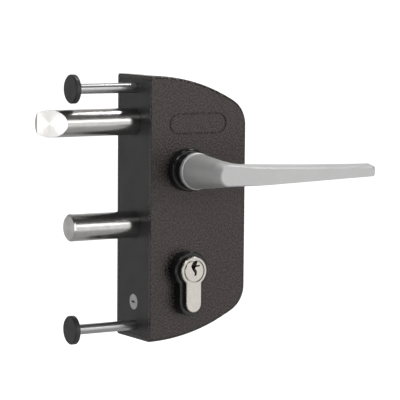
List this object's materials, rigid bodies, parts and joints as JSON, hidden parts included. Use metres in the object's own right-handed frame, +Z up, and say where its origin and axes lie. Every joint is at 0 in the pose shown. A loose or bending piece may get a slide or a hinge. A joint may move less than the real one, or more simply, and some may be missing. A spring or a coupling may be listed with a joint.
{
  "type": "gate lock",
  "caption": "Surface gate lock with a lever handle, a bevelled round latch bolt, a round dead bolt and a profile cylinder, held by long bolts through a square gate post.",
  "frame": {"origin": "on the case's mounting face, in the middle of its depth, level with the handle's axis", "axes": "+X out of the gate profile into the case, +Y from the front to the rear, +Z up"},
  "size_m": [0.1871, 0.0997, 0.158],
  "materials": {
    "case_paint": "fine textured dark powder coat",
    "plate_steel": "zinc plated",
    "plate_coat": "smooth black coat",
    "screw_steel": "plain stainless",
    "bolt_steel": "turned stainless",
    "guide_plastic": "smooth black",
    "black_plastic": "satin black",
    "cap_plastic": "satin dark grey",
    "handle_metal": "satin silver",
    "follower_metal": "zinc plated",
    "spring_steel": "drawn wire",
    "cylinder_nickel": "satin nickel plated",
    "plug_nickel": "satin nickel plated"
  },
  "bodies": {
    "case": {"front_cover": "case_paint", "rear_cover": "case_paint", "cover_screws": "screw_steel", "mounting_plate": "plate_coat", "latch_guide": "guide_plastic", "bolt_guide": "guide_plastic", "fixing_bolts": "bolt_steel", "fixing_nuts": "plate_steel", "upper_cap": "cap_plastic", "lower_cap": "cap_plastic", "front_handle_bush": "guide_plastic", "rear_handle_bush": "guide_plastic", "front_rose": "black_plastic", "rear_rose_cover": "black_plastic", "cylinder_body": "cylinder_nickel", "cylinder_screw": "screw_steel", "front_collar": "black_plastic", "rear_collar": "black_plastic", "latch_spring": "spring_steel", "return_spring": "spring_steel"},
    "handle": {"follower": "follower_metal", "spindle": "plate_steel", "lever_handle": "handle_metal", "handle_screw": "screw_steel"},
    "latch": {"latch_bolt": "bolt_steel", "latch_tail": "follower_metal", "latch_pin": "spring_steel"},
    "bolt": {"dead_bolt": "bolt_steel", "bolt_tail": "follower_metal", "bolt_tail_screw": "screw_steel"},
    "plugs": {"front_plug": "plug_nickel", "rear_plug": "plug_nickel", "cam": "follower_metal"}
  },
  "joints": [
    {"name": "lever_turn", "type": "hinge", "parent": "case", "child": "handle", "pos_m": [0.024, 0, 0], "axis": [0, 1, 0], "range_deg": [0, 40], "stiffness_Nm_per_rad": 1.5, "springref_deg": -20.05, "deforming": ["return_spring"]},
    {"name": "latch_slide", "type": "slide", "parent": "case", "child": "latch", "axis": [1, 0, 0], "range_m": [0, 0.01984], "deforming": ["latch_spring"]},
    {"name": "key_turn", "type": "hinge", "parent": "case", "child": "plugs", "pos_m": [0.024, 0, -0.059], "axis": [0, -1, 0], "range_deg": [0, 95]},
    {"name": "bolt_slide", "type": "slide", "parent": "case", "child": "bolt", "axis": [-1, 0, 0], "range_m": [0, 0.02]}
  ],
  "couplings": [
    {"joint": "latch_slide", "follows": "lever_turn", "m_per_rad": 0.028413},
    {"joint": "key_turn", "follows": "bolt_slide", "rad_per_m": 82.903}
  ]
}
